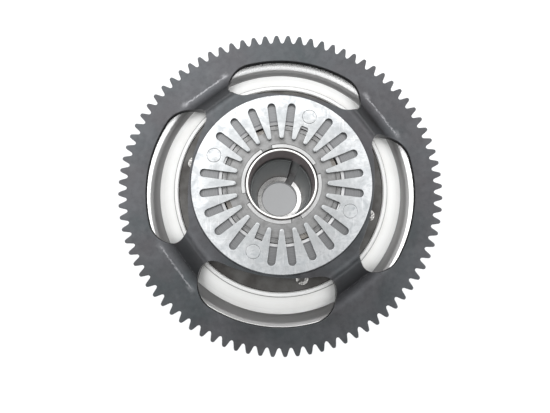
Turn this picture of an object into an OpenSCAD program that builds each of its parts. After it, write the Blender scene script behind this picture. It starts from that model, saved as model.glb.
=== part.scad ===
// Engine flywheel rotor with a torque-limited starter gear on a sprag clutch.
// The crank axis is Z. Z = 0 is the rim of the open stator side, and the gear side is up.

/* [Starter gear] */
// Number of teeth on the starter gear
teeth = 84; // [76:1:88]
// Gear module
gear_module = 1.75; // [1.7:0.05:1.75]
// Height of the gear ring's upper face
ring_top = 50; // [49:0.5:51]
// Face width of the toothed ring
tooth_face_w = 9; // [6:0.5:10]
// Thickness of the pressed web
web_t = 2.8; // [2.4:0.1:3]
// Turn of the spokes about Z
spoke_angle = 36.9; // [0:0.1:90]
// Turn of the teeth about Z, to the middle of the first tooth
tooth_angle = 1.45; // [0:0.05:4.25]
// Outer radius of the four windows
window_r = 62.6; // [61.6:0.5:62.6]
// Narrowest width of a spoke
spoke_w = 14.4; // [12:0.2:18]

/* [Star spring] */
// Outer radius of the star spring
star_r = 37.5; // [36.5:0.5:38]
// Thickness of the star spring
star_t = 1.5; // [1.2:0.1:1.6]
// Number of fingers
fingers = 24; // [24:24:24]
// Width of a slot between two fingers
finger_slot_w = 3.35; // [3:0.05:3.6]
// Radius to the round end of a long slot
slot_end_r = 34.2; // [32:0.2:35]
// Radius to the square end of a short slot, inside a rivet
short_slot_r = 25.7; // [24:0.1:26]

/* [Hub] */
// Crank journal radius of the hub bush
journal_r = 14; // [13.9:0.01:14.2]
// Outer radius of the castellated collar
collar_r = 16.95; // [16.9:0.01:17.05]
// Width of one collar gap, in degrees
collar_gap = 16; // [12:1:20]
// Radius of the clutch's inner race
inner_race_r = 26; // [26:0.1:26.1]

/* [Clutch] */
// Radius of the clutch's outer race
outer_race_r = 34.3; // [34.3:0.1:34.4]
// Number of sprags
sprag_count = 20; // [16:1:20]
// Number of clutch bolts
bolt_count = 6; // [6:1:6]
// Radius of the clutch bolt circle
bolt_circle_r = 41.5; // [41.3:0.1:42.6]

/* [Rotor] */
// Outer radius of the rotor
rotor_r = 69.5; // [69:0.1:70]
// Height of the rotor's outer shoulder
shoulder_z = 36; // [35.8:0.1:36.2]
// Number of magnets
magnet_count = 12; // [12:2:12]
// Number of pole positions for trigger lugs, two of them left empty
lug_places = 24; // [18:1:30]
// Large radius of the crank taper
taper_big_r = 13.1; // [12.8:0.1:13.4]
// Small radius of the crank taper
taper_small_r = 12; // [11.5:0.1:12.4]
// Radius of the hole for the crank bolt
crank_bolt_r = 9.5; // [8.5:0.1:9.6]
// Width of the keyway
key_w = 4; // [3:0.5:5]

/* [Hidden] */
$fn = 96;
cut = 1;
spokes = 4;
key_angle = 60;
tab_angle = 22.5;
rivet_angle = 67.5;
bolt_angle = 43.2;
boss_rivet_angle = bolt_angle + 30;
// Size of the small chamfers on turned edges
edge = 0.6;
// Depth of an overlap that welds two shapes of one piece together
weld = 1;

// Gear radii
pitch_r = gear_module * teeth / 2;
tip_r = pitch_r + gear_module;
root_r = pitch_r - 1.2 * gear_module;
pressure_angle = 20;
flank_steps = 4;

// Web: flat ring, steep spoke, raised flange
flange_top = 68.5;
seat_top = 68.9;
seat_r = 38.2;
spoke_slope = 58.4;
lower_bend_r = 7.75;
lower_bend_d = 59.8;
upper_bend_r = 5;
rim_inner_r = 66;
flange_r = 41.3;

// Windows, in the gear's plane
window_outer_corner = 12;
window_inner_corner = 7;
window_inner_edge_r = 73;
window_inner_reach = 38.8;
// Past the window's outer edge, which the ring's own bore gives
window_overcut = 2;
spoke_half_reach = 27;

// Limiter stack, from the hub's disc up to the spring fingers
disc_top = 61.2;
cup_floor_bottom = 61.5;
cup_floor_top = 63.3;
cup_r = 25.2;
cup_wall = 3.8;
cup_mouth_r = 26.3;
cup_mouth_h = 0.55;
cup_bore_gap = 0.07;
lower_ring_top = 64.1;
lower_ring_r = 24.9;
drive_plate_bottom = 64.25;
drive_plate_top = 65.45;
drive_plate_r = 24.9;
upper_ring_bottom = 65.6;
upper_ring_top = 66.8;
upper_ring_r = 24.8;
pressure_bottom = 66.95;
pressure_top = 68.75;
pressure_r = 24.8;
pressure_face_r = 23.6;
pressure_step = 0.45;
ring_bore_gap = 1;
notch_r = 22.6;
notch_w = 3.4;
past = 30;
finger_tip_r = 19;
rivet_circle_r = 30.5;
rivet_head_r = 2.9;
rivet_shank_r = 2;
rivet_head_h = 1.4;

// Hub
collar_top = 68.7;
collar_bore_r = 15.38;
collar_bore_depth = 3;
collar_gap_floor = 63.6;
bush_wall = 0.78;
bush_r = journal_r + bush_wall;
bush_bottom = 54;
bush_top = 69;
skirt_bottom = 37;
skirt_bore_r = 18.5;

// Clutch
housing_top = 53;
counterbore_r = 36;
counterbore_floor = 50.8;
end_plate_t = 1;
snap_groove_depth = 0.8;
snap_ring_t = 1;
bolt_r = 3;
bolt_head_r = 5;
bolt_head_h = 6;
bolt_socket_r = 2.9;
bolt_socket_depth = 3;
sprag_bottom = 39;
sprag_h = 10.5;

// Rotor
web_bottom = 27;
web_top = 34;
recess_r = 46.5;
rim_top = 53.6;
cone_top = [48.7, 52.8];
cone_foot = [57.4, 44.1];
cove_r = 6.4;
cove_floor = 35;
land_inner_r = 66.3;
wall_inner_r = 60.4;
groove_r = 68.2;
lug_deg = 8;
lug_low = 8;
lug_high = 26;
bolt_hole_r = 3.3;

// Boss
boss_bottom = 2;
boss_top = 53;
boss_r = 17.8;
boss_foot_r = 19.5;
boss_foot_edge = 0.8;
pilot_r = 20;
boss_flange_r = 32;
boss_flange_bottom = 21;
puller_r = 13.2;
washer_seat = 9.5;
taper_foot = 17;
key_depth = 1.9;
key_floor = taper_foot - 3;
boss_rivet_count = 6;
boss_rivet_circle_r = 26;
boss_rivet_r = 3;
countersink = 1.5;

// Magnets, set in resin behind a thin sleeve
magnet_inner_r = 53.6;
magnet_bottom = 4;
magnet_top = 26;
magnet_deg = 27;
sleeve_t = 0.4;
sleeve_lip = 0.6;

// Points of an arc about a centre
function arc(centre, r, from, to, steps = 12) =
    [for (i = [0 : steps]) let (a = from + (to - from) * i / steps) centre + r * [cos(a), sin(a)]];
function turned(points, a) = [for (p = points) [p.x * cos(a) - p.y * sin(a), p.x * sin(a) + p.y * cos(a)]];
function mirrored(points) = [for (i = [len(points) - 1 : -1 : 0]) [points[i].x, -points[i].y]];

// Involute tooth: half its angle at radius r
function involute(r) = let (c = pitch_r * cos(pressure_angle) / r) tan(acos(c)) * 180 / PI - acos(c);
function half_tooth(r) = 90 / teeth + involute(pitch_r) - involute(r);
function flank(side) = [
    for (i = [0 : flank_steps])
        let (k = side < 0 ? i : flank_steps - i, r = root_r + (tip_r - root_r) * k / flank_steps)
        r * [cos(side * half_tooth(r)), sin(side * half_tooth(r))]
];

module ring(r_out, r_in, z_low, z_high) {
    translate([0, 0, z_low])
        difference() {
            cylinder(r = r_out, h = z_high - z_low);
            translate([0, 0, -cut]) cylinder(r = r_in, h = z_high - z_low + 2 * cut);
        }
}

module around(count, first = 0) {
    for (i = [0 : count - 1]) rotate([0, 0, first + i * 360 / count]) children();
}

// A ring segment, centred on +X
module segment(r_out, r_in, z_low, z_high, width_deg) {
    rotate([0, 0, -width_deg / 2])
        rotate_extrude(angle = width_deg)
            translate([r_in, z_low]) square([r_out - r_in, z_high - z_low]);
}

// One tab or notch that points along +X
module radial_block(r_in, r_out, width, z_low, z_high) {
    translate([r_in, -width / 2, z_low]) cube([r_out - r_in, width, z_high - z_low]);
}

// ---- Starter gear ----

module tooth_ring() {
    outline = [for (i = [0 : teeth - 1]) each turned(concat(flank(-1), flank(1)), i * 360 / teeth)];
    translate([0, 0, ring_top - tooth_face_w])
        linear_extrude(tooth_face_w) rotate(tooth_angle) polygon(outline);
}

// Half of a window's cut in spoke coordinates, from its outer to its inner edge
function half_window() =
    let (
        side = spoke_w / 2,
        oy = side + window_outer_corner,
        ox = sqrt(pow(window_r - window_outer_corner, 2) - oy * oy),
        edge_centre = (window_inner_reach - window_inner_edge_r) * [cos(45), sin(45)],
        iy = side + window_inner_corner,
        inner_r = window_inner_edge_r + window_inner_corner,
        ix = edge_centre.x + sqrt(pow(inner_r, 2) - pow(iy - edge_centre.y, 2)),
        to_corner = atan2(iy - edge_centre.y, ix - edge_centre.x)
    )
    concat(
        arc([0, 0], window_r + window_overcut, 45, atan2(oy, ox)),
        arc([ox, oy], window_outer_corner, atan2(oy, ox), -90),
        arc([ix, iy], window_inner_corner, -90, to_corner - 180),
        arc(edge_centre, window_inner_edge_r, to_corner, 45)
    );

module window() {
    half = turned(half_window(), -45);
    polygon(concat(half, mirrored(half)));
}

// Section of a spoke: distance along the spoke against height
module spoke_section() {
    low = [lower_bend_d, ring_top + lower_bend_r];
    fall = [-cos(spoke_slope), sin(spoke_slope)];
    across = [sin(spoke_slope), cos(spoke_slope)];
    high_z = flange_top - upper_bend_r;
    run = (high_z - low.y + (lower_bend_r + upper_bend_r) * across.y) / fall.y;
    high = [low.x - (lower_bend_r + upper_bend_r) * across.x + run * fall.x, high_z];
    upper = concat(
        arc(low, lower_bend_r, -90, -90 - spoke_slope, 6),
        arc(high, upper_bend_r, 90 - spoke_slope, 90, 6)
    );
    under = concat(
        arc(high, upper_bend_r - web_t, 90, 90 - spoke_slope, 6),
        arc(low, lower_bend_r + web_t, -90 - spoke_slope, -90, 6)
    );
    polygon(concat(
        [[window_r + weld, ring_top]], upper, [[cup_r, flange_top]],
        [[cup_r, flange_top - web_t]], under, [[window_r + weld, ring_top - web_t]]
    ));
}

module spoke_sheet() {
    reach = window_r + weld / 2;
    half_width = spoke_half_reach;
    intersection() {
        rotate([90, 0, 0]) linear_extrude(2 * half_width, center = true) spoke_section();
        linear_extrude(flange_top + cut) polygon([[0, 0], [reach, -half_width], [reach, half_width]]);
        cylinder(r = reach, h = flange_top + cut);
    }
}

module web() {
    difference() {
        union() {
            around(spokes, spoke_angle) spoke_sheet();
            ring(flange_r, cup_r, flange_top - web_t, flange_top);
        }
        around(spokes, spoke_angle + 45)
            translate([0, 0, ring_top - web_t - cut]) linear_extrude(flange_top) window();
    }
}

module starter_gear() {
    color([0.33, 0.35, 0.38])
    difference() {
        union() {
            difference() {
                tooth_ring();
                translate([0, 0, ring_top - tooth_face_w - cut])
                    cylinder(r = rim_inner_r, h = tooth_face_w - web_t + cut);
                translate([0, 0, ring_top - web_t - cut]) cylinder(r = window_r, h = web_t + 2 * cut);
            }
            web();
            ring(seat_r, cup_r, flange_top - web_t, seat_top);
            ring(cup_r + cup_wall, cup_r, cup_floor_bottom, flange_top);
            ring(cup_r + cup_wall, collar_r + cup_bore_gap, cup_floor_bottom, cup_floor_top);
        }
        around(4, rivet_angle) translate([rivet_circle_r, 0, 0]) rivet_hole();
        translate([0, 0, cup_floor_top]) cylinder(r = cup_r, h = seat_top);
        cup_mouth();
    }
}

// Chamfer at the mouth of the cup; the cone runs on past the seat
module cup_mouth() {
    flare = (cup_mouth_r - cup_r) / cup_mouth_h;
    h = cup_mouth_h + cut;
    translate([0, 0, seat_top - cup_mouth_h]) cylinder(r1 = cup_r, r2 = cup_r + flare * h, h = h);
}

// Hole for a spring rivet, with a spot face for its lower head cut into the cup's wall
module rivet_hole() {
    translate([0, 0, cup_floor_bottom]) cylinder(r = rivet_shank_r, h = seat_top);
    translate([0, 0, cup_floor_bottom - cut])
        cylinder(r = rivet_head_r + 0.2, h = flange_top - web_t - cup_floor_bottom + cut);
}

module lower_friction_ring() {
    color([0.45, 0.42, 0.38]) ring(lower_ring_r, collar_r + ring_bore_gap, cup_floor_top, lower_ring_top);
}

// Notches on the four tab angles
module notched(r, z_low, z_high) {
    difference() {
        children();
        around(4, tab_angle) radial_block(r, past, notch_w, z_low - cut, z_high + cut);
    }
}

module upper_friction_ring() {
    color([0.45, 0.42, 0.38])
    notched(notch_r + 0.2, upper_ring_bottom, upper_ring_top)
        ring(upper_ring_r, collar_r + ring_bore_gap, upper_ring_bottom, upper_ring_top);
}

// Square slot from the middle of the spring out to radius r, with its outer corners rounded
module short_slot(r) {
    start = finger_tip_r / 2;
    corner = 0.8;
    half = finger_slot_w / 2;
    translate([start, -half]) square([r - start - corner, finger_slot_w]);
    translate([start, corner - half]) square([r - start, finger_slot_w - 2 * corner]);
    for (side = [-1, 1]) translate([r - corner, side * (half - corner)]) circle(r = corner);
}

// Slot with a round end at radius r
module long_slot(r) {
    start = finger_tip_r / 2;
    half = finger_slot_w / 2;
    translate([start, -half]) square([r - half - start, finger_slot_w]);
    translate([r - half, 0]) circle(r = half);
}

module star_spring() {
    tip_half_w = (finger_tip_r + 0.8) * sin(180 / fingers) - finger_slot_w / 2;
    color([0.80, 0.82, 0.84])
    translate([0, 0, seat_top])
    linear_extrude(star_t) {
        difference() {
            circle(r = star_r);
            circle(r = finger_tip_r + tip_half_w);
            for (i = [0 : fingers - 1])
                rotate((i + 0.5) * 360 / fingers)
                    if (i % 6 == 4) short_slot(short_slot_r);
                    else long_slot(slot_end_r);
            for (i = [0 : 3])
                rotate(rivet_angle + 90 * i) translate([rivet_circle_r, 0]) circle(r = rivet_head_r);
        }
        for (i = [0 : fingers - 1])
            rotate(i * 360 / fingers) translate([finger_tip_r + tip_half_w, 0]) circle(r = tip_half_w);
    }
}

module spring_rivets() {
    flange_bottom = flange_top - web_t;
    color([0.78, 0.80, 0.82])
    around(4, rivet_angle) translate([rivet_circle_r, 0, 0]) {
        translate([0, 0, flange_bottom - rivet_head_h]) cylinder(r = rivet_head_r, h = rivet_head_h);
        translate([0, 0, flange_bottom - weld])
            cylinder(r = rivet_shank_r, h = seat_top - flange_bottom + 2 * weld);
        translate([0, 0, seat_top]) cylinder(r = rivet_head_r, h = star_t);
    }
}

// ---- Limiter hub ----

module limiter_hub() {
    color([0.62, 0.62, 0.62])
    difference() {
        rotate_extrude()
            polygon([
                [bush_r, bush_bottom], [skirt_bore_r, bush_bottom], [skirt_bore_r, skirt_bottom],
                [inner_race_r - edge, skirt_bottom], [inner_race_r, skirt_bottom + edge],
                [inner_race_r, disc_top - edge], [inner_race_r - edge, disc_top],
                [collar_r, disc_top], [collar_r, collar_top], [collar_bore_r, collar_top],
                [collar_bore_r, collar_top - collar_bore_depth], [bush_r, collar_top - collar_bore_depth]
            ]);
        around(4, tab_angle)
            segment(collar_r + weld, journal_r, collar_gap_floor, collar_top + cut, collar_gap);
    }
}

module hub_bush() {
    color([0.72, 0.70, 0.66]) ring(bush_r, journal_r, bush_bottom, bush_top);
}

module tabbed_plate(r_out, z_low, z_high) {
    tab_side_gap = 0.8;
    tab_reach = collar_bore_r + 0.1;
    ring(r_out, collar_r + 0.02, z_low, z_high);
    around(4, tab_angle) segment(collar_r + weld, tab_reach, z_low, z_high, collar_gap - tab_side_gap);
}

module drive_plate() {
    color([0.55, 0.55, 0.56]) tabbed_plate(drive_plate_r, drive_plate_bottom, drive_plate_top);
}

// Stepped down outside the face that the spring presses on
module pressure_plate() {
    color([0.58, 0.58, 0.60])
    notched(notch_r, pressure_bottom, pressure_top) {
        tabbed_plate(pressure_r, pressure_bottom, pressure_top - pressure_step);
        tabbed_plate(pressure_face_r, pressure_bottom, pressure_top);
    }
}

// ---- Sprag clutch ----

module clutch_housing() {
    groove_bottom = counterbore_floor + end_plate_t;
    groove_top = groove_bottom + snap_ring_t;
    groove_out = counterbore_r + snap_groove_depth;
    color([0.36, 0.37, 0.35])
    difference() {
        rotate_extrude()
            polygon([
                [outer_race_r, web_top], [recess_r, web_top], [recess_r, housing_top - edge],
                [recess_r - edge, housing_top], [counterbore_r, housing_top], [counterbore_r, groove_top],
                [groove_out, groove_top], [groove_out, groove_bottom], [counterbore_r, groove_bottom],
                [counterbore_r, counterbore_floor], [outer_race_r, counterbore_floor]
            ]);
        around(bolt_count, bolt_angle)
            translate([bolt_circle_r, 0, web_top - cut])
                cylinder(r = bolt_r, h = housing_top - web_top + 2 * cut);
    }
}

// Socket screws from the stator side, their ends staked over on the gear side
module clutch_bolts() {
    stake_r = 1.5;
    stake_depth = 1;
    bolt_end = housing_top + 0.3;
    color([0.42, 0.42, 0.42])
    around(bolt_count, bolt_angle) translate([bolt_circle_r, 0, 0])
        difference() {
            union() {
                translate([0, 0, web_bottom]) cylinder(r = bolt_r, h = bolt_end - web_bottom);
                translate([0, 0, web_bottom - bolt_head_h]) cylinder(r = bolt_head_r, h = bolt_head_h);
            }
            translate([0, 0, web_bottom - bolt_head_h - cut])
                cylinder(r = bolt_socket_r, h = bolt_socket_depth + cut, $fn = 6);
            translate([0, 0, bolt_end - stake_depth]) cylinder(r = stake_r, h = stake_depth + cut);
        }
}

// A sprag: two cam ends about a waist, set across the gap between the races
module sprag_outline() {
    clearance = 0.06;
    end_r = 2.2;
    end_half_angle = 43;
    lean = 0.6;
    low = inner_race_r + clearance + end_r;
    high = outer_race_r - clearance - end_r;
    waist = 1.5;
    polygon(concat(
        arc([low, 0], end_r, 90 + end_half_angle, 270 - end_half_angle, 6),
        arc([high, lean], end_r, -90 - end_half_angle, 90 + end_half_angle, 14)
    ));
    translate([(low + high) / 2 - waist, -waist]) square([2 * waist, 2 * waist]);
    translate([low, 0]) circle(r = end_r);
}

module sprags() {
    color([0.70, 0.70, 0.72])
    around(sprag_count) translate([0, 0, sprag_bottom]) linear_extrude(sprag_h) sprag_outline();
}

module sprag_cage() {
    cage_out = 31;
    cage_in = 29.4;
    cage_end = 1.5;
    pocket_w = 5.2;
    pocket_gap = 0.1;
    sprag_top = sprag_bottom + sprag_h;
    pocket_bottom = sprag_bottom - pocket_gap;
    pocket_top = sprag_top + pocket_gap;
    color([0.62, 0.55, 0.40])
    difference() {
        ring(cage_out, cage_in, sprag_bottom - cage_end, sprag_top + 1.1);
        around(sprag_count)
            radial_block(cage_in - weld, cage_out + weld, pocket_w, pocket_bottom, pocket_top);
    }
}

module garter_spring() {
    wire_r = 0.55;
    color([0.75, 0.75, 0.76])
    translate([0, 0, sprag_bottom + sprag_h + wire_r])
        rotate_extrude() translate([outer_race_r - 1.4, 0]) circle(r = wire_r, $fn = 24);
}

module clutch_end_plate() {
    color([0.60, 0.60, 0.60])
    ring(counterbore_r, inner_race_r + edge, counterbore_floor, counterbore_floor + end_plate_t);
}

module clutch_snap_ring() {
    sweep = 340;
    ring_w = 1.9;
    eye_r = 1.6;
    eye_hole_r = 0.7;
    eye_turn = 4;
    ring_in = counterbore_r + snap_groove_depth - ring_w;
    z = counterbore_floor + end_plate_t;
    color([0.30, 0.30, 0.31])
    rotate([0, 0, 200]) {
        rotate_extrude(angle = sweep) translate([ring_in, z]) square([ring_w, snap_ring_t]);
        for (a = [eye_turn, sweep - eye_turn]) rotate([0, 0, a]) translate([ring_in - 0.3, 0, z])
            difference() {
                cylinder(r = eye_r, h = snap_ring_t);
                translate([0, 0, -cut]) cylinder(r = eye_hole_r, h = snap_ring_t + 2 * cut);
            }
    }
}

// ---- Rotor ----

module rotor_cup() {
    lip = 0.2;
    color([0.80, 0.80, 0.78])
    difference() {
        union() {
            rotate_extrude()
                polygon(concat(
                    [[wall_inner_r + edge, 0], [rotor_r - edge, 0], [rotor_r, edge]],
                    [[rotor_r, lug_low - 2], [groove_r, lug_low]],
                    [[groove_r, lug_high], [rotor_r, lug_high + 2]],
                    [[rotor_r, shoulder_z - edge], [rotor_r - edge, shoulder_z]],
                    [[land_inner_r, shoulder_z]],
                    arc([cone_foot.x + cove_r, cove_floor + cove_r], cove_r, -90, -180),
                    [cone_foot, cone_top, [cone_top.x - lip, rim_top], [recess_r, rim_top]],
                    [[recess_r, web_top], [pilot_r, web_top], [pilot_r, web_bottom]],
                    [[wall_inner_r, web_bottom], [wall_inner_r, edge]]
                ));
            for (i = [1 : lug_places - 2])
                rotate([0, 0, i * 360 / lug_places])
                    segment(rotor_r - 0.1, groove_r - weld, lug_low + weld, lug_high - weld, lug_deg);
        }
        around(bolt_count, bolt_angle)
            translate([bolt_circle_r, 0, web_bottom - cut])
                cylinder(r = bolt_hole_r, h = web_top - web_bottom + 2 * cut);
        around(boss_rivet_count, boss_rivet_angle) translate([boss_rivet_circle_r, 0, 0]) boss_rivet_hole();
    }
}

// Countersunk from the gear side; the cone runs on past the web's face
module boss_rivet_hole() {
    past_face = 0.5;
    sink_h = countersink + past_face;
    translate([0, 0, web_bottom - cut]) cylinder(r = boss_rivet_r, h = web_top - web_bottom + 2 * cut);
    translate([0, 0, web_top - countersink])
        cylinder(r1 = boss_rivet_r, r2 = boss_rivet_r + sink_h, h = sink_h);
}

module rotor_boss() {
    foot = boss_foot_edge;
    color([0.66, 0.62, 0.60])
    difference() {
        rotate_extrude()
            polygon([
                [puller_r + foot, boss_bottom], [boss_foot_r - foot, boss_bottom],
                [boss_foot_r, boss_bottom + foot],
                [boss_foot_r, boss_flange_bottom], [boss_flange_r - edge, boss_flange_bottom],
                [boss_flange_r, boss_flange_bottom + edge],
                [boss_flange_r, web_bottom], [pilot_r, web_bottom], [pilot_r, web_top],
                [boss_r, web_top], [boss_r, boss_top - edge], [boss_r - edge, boss_top],
                [taper_big_r, boss_top], [taper_small_r, taper_foot], [crank_bolt_r, taper_foot],
                [crank_bolt_r, washer_seat], [puller_r, washer_seat], [puller_r, boss_bottom + foot]
            ]);
        rotate([0, 0, key_angle])
            radial_block(0, taper_big_r + key_depth, key_w, key_floor, boss_top + cut);
        around(boss_rivet_count, boss_rivet_angle)
            translate([boss_rivet_circle_r, 0, boss_flange_bottom - cut])
                cylinder(r = boss_rivet_r, h = web_top);
    }
}

module boss_rivets() {
    head_h = 2.4;
    head_r = 5;
    head_end_r = 3.2;
    color([0.60, 0.60, 0.60])
    around(boss_rivet_count, boss_rivet_angle) translate([boss_rivet_circle_r, 0, 0]) {
        translate([0, 0, boss_flange_bottom]) cylinder(r = boss_rivet_r, h = web_top - boss_flange_bottom);
        translate([0, 0, web_top - countersink])
            cylinder(r1 = boss_rivet_r, r2 = boss_rivet_r + countersink, h = countersink);
        translate([0, 0, boss_flange_bottom - head_h]) cylinder(r1 = head_end_r, r2 = head_r, h = head_h);
    }
}

module magnets() {
    color([0.25, 0.25, 0.27])
    around(magnet_count, 180 / magnet_count)
        segment(wall_inner_r, magnet_inner_r, magnet_bottom, magnet_top, magnet_deg);
}

module magnet_spacer() {
    color([0.16, 0.16, 0.17])
    difference() {
        ring(wall_inner_r, magnet_inner_r, magnet_bottom, web_bottom);
        around(magnet_count, 180 / magnet_count)
            segment(wall_inner_r + weld, magnet_inner_r - weld,
                magnet_bottom - cut, magnet_top, magnet_deg);
    }
}

module magnet_sleeve() {
    sleeve_r = magnet_inner_r - sleeve_t;
    color([0.75, 0.76, 0.78])
    rotate_extrude()
        polygon([
            [sleeve_r, magnet_bottom - sleeve_lip], [wall_inner_r, magnet_bottom - sleeve_lip],
            [wall_inner_r, magnet_bottom], [magnet_inner_r, magnet_bottom],
            [magnet_inner_r, web_bottom], [sleeve_r, web_bottom]
        ]);
}

rotor_cup();
rotor_boss();
boss_rivets();
clutch_housing();
clutch_bolts();
sprags();
sprag_cage();
garter_spring();
clutch_end_plate();
clutch_snap_ring();
magnets();
magnet_spacer();
magnet_sleeve();
limiter_hub();
hub_bush();
drive_plate();
pressure_plate();
starter_gear();
lower_friction_ring();
upper_friction_ring();
star_spring();
spring_rivets();
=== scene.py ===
"""Looks of the flywheel: rotor, sprag clutch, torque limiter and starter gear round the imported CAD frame."""

import math

import bmesh
import bpy
import numpy as np
from mathutils import Matrix, Vector, geometry


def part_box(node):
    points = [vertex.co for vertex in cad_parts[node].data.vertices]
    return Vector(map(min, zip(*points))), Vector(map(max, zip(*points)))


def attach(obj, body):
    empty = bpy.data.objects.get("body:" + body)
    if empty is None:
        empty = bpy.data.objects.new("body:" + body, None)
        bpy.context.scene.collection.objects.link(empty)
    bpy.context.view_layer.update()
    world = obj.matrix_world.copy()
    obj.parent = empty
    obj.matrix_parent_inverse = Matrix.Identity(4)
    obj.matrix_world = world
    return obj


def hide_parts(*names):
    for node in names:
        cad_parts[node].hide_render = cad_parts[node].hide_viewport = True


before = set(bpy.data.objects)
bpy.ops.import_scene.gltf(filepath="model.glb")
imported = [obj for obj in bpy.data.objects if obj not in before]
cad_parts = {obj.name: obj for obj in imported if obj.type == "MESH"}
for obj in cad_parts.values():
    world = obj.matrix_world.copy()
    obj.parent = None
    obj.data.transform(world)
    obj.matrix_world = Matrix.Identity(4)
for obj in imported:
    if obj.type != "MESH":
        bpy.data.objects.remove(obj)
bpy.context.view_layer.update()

MM = 0.001
QUARTER = math.pi / 2
FULL = 2 * math.pi
ROUND_STEPS = 3
CORNER_STEPS = 4
SMOOTH_ANGLE = math.radians(32)


# ---- Sizes, in mm, from the frame ----

def reach(node):
    """Outer radius of a CAD node, in mm."""
    low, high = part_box(node)
    return max(high.x, high.y, -low.x, -low.y) / MM


def bottom(node):
    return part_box(node)[0].z / MM


def top(node):
    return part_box(node)[1].z / MM


TEETH = 84
TIP_R = reach("starter_gear")
MODULE = TIP_R / (TEETH / 2 + 1)
PITCH_R = MODULE * TEETH / 2
ROOT_R = PITCH_R - 1.2 * MODULE
TOOTH_TURN = math.radians(1.45)
SPOKE_TURN = math.radians(36.9)
TAB_TURN = math.radians(22.5)
RIVET_TURN = math.radians(67.5)
BOLT_TURN = math.radians(43.2)
KEY_TURN = math.radians(60)
RIVET_CIRCLE_R = 30.5
BOLT_CIRCLE_R = 41.5
BOSS_RIVET_CIRCLE_R = 26.0
RING_BOTTOM = bottom("starter_gear")
RING_TOP = RING_BOTTOM + 9.0
SEAT_TOP = top("starter_gear")
FLANGE_TOP = SEAT_TOP - 0.4
WEB_T = 2.8
WINDOW_R = 62.6
COLLAR_R = 16.95
COLLAR_BORE_R = 15.38
JOURNAL_R = 14.0
BUSH_R = reach("hub_bush")
COLLAR_TOP = top("limiter_hub")
RACE_R = reach("limiter_hub")
HUB_BOTTOM = bottom("limiter_hub")
ROTOR_R = reach("rotor_cup")
CUP_TOP = top("rotor_cup")
SHOULDER_Z = 36.0
RECESS_R = reach("clutch_housing")
WALL_R = reach("magnets")
FLOOR_Z = bottom("clutch_housing")
WEB_BOTTOM = FLOOR_Z - 7.0
PILOT_R = 20.0
CONE_TOP = (48.7, 52.8)
CONE_FOOT = (57.4, 44.1)
COVE_FLOOR = 34.2
LAND_IN_R = 64.8
LAND_OUT_R = 67.8
BOSS_TOP = top("rotor_boss")
FLANGE_LOW = 21.0
LEDGE_Z = 17.0
BOLT_SEAT_Z = 9.5
TAPER_BIG_R = 13.1
TAPER_SMALL_R = 12.0
LEAST_WORN_SPOKE = 0.25 - SPOKE_TURN / FULL


# ---- Plane geometry ----

def arc(centre, r, start, end, steps=12):
    return [
        (centre[0] + r * math.cos(start + (end - start) * i / steps),
         centre[1] + r * math.sin(start + (end - start) * i / steps))
        for i in range(steps + 1)
    ]


def turned(points, a):
    c, s = math.cos(a), math.sin(a)
    return [(x * c - y * s, x * s + y * c) for x, y in points]


def circle(r, steps=192, centre=(0.0, 0.0)):
    return arc(centre, r, 0, FULL * (steps - 1) / steps, steps - 1)


def area(loop):
    return sum(a[0] * b[1] - b[0] * a[1] for a, b in zip(loop, loop[1:] + loop[:1])) / 2


def wound(loop, solid_inside):
    """The loop turned so that the solid lies to the left of its edges."""
    return loop if (area(loop) > 0) == solid_inside else loop[::-1]


def without_repeats(loop):
    least_gap = 1e-4
    return [p for i, p in enumerate(loop) if math.dist(p, loop[i - 1]) > least_gap]


def inset(loop, b):
    """The loop moved to its left by b, with mitred corners."""
    moved = []
    for i, p in enumerate(loop):
        before, after = Vector(loop[i - 1]), Vector(loop[(i + 1) % len(loop)])
        here = Vector(p)
        d1, d2 = (here - before).normalized(), (after - here).normalized()
        n1, n2 = Vector((-d1.y, d1.x)), Vector((-d2.y, d2.x))
        n = (n1 + n2).normalized()
        step = b / max(0.5, n.dot(n1))
        moved.append((p[0] + n.x * step, p[1] + n.y * step))
    return moved


def rounded(corners):
    """A closed outline whose corners (x, y, radius) are rounded."""
    out = []
    for i, (x, y, r) in enumerate(corners):
        if not r:
            out.append((x, y))
            continue
        here = Vector((x, y))
        before = Vector(corners[i - 1][:2]) - here
        after = Vector(corners[(i + 1) % len(corners)][:2]) - here
        half = before.angle(after) / 2
        run = min(r / math.tan(half), before.length * 0.49, after.length * 0.49)
        r_used = run * math.tan(half)
        bisector = (before.normalized() + after.normalized()).normalized()
        centre = here + bisector * (r_used / math.sin(half))
        a = here + before.normalized() * run - centre
        b = here + after.normalized() * run - centre
        start, sweep = math.atan2(a.y, a.x), math.atan2(a.x * b.y - a.y * b.x, a.dot(b))
        out += arc(centre, r_used, start, start + sweep, CORNER_STEPS)
    return without_repeats(out)


# ---- Mesh building ----

def piece(node, verts_mm, faces, body, material, slot):
    """Adds the finer piece that rides a body in place of a CAD node, its sharp edges kept."""
    name = node + "_detail"
    mesh = bpy.data.meshes.new(name)
    mesh.from_pydata([(x * MM, y * MM, z * MM) for x, y, z in verts_mm], [], faces)
    bm = bmesh.new()
    bm.from_mesh(mesh)
    bmesh.ops.remove_doubles(bm, verts=bm.verts, dist=1e-7)
    bmesh.ops.recalc_face_normals(bm, faces=bm.faces)
    bm.to_mesh(mesh)
    bm.free()
    mesh.shade_smooth()
    mesh.set_sharp_from_angle(angle=SMOOTH_ANGLE)
    mesh.materials.append(material)
    obj = bpy.data.objects.new(name, mesh)
    bpy.context.scene.collection.objects.link(obj)
    normals = obj.modifiers.new("normals", "WEIGHTED_NORMAL")
    normals.weight = 100
    normals.keep_sharp = True
    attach(obj, body)
    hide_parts(node)


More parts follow.
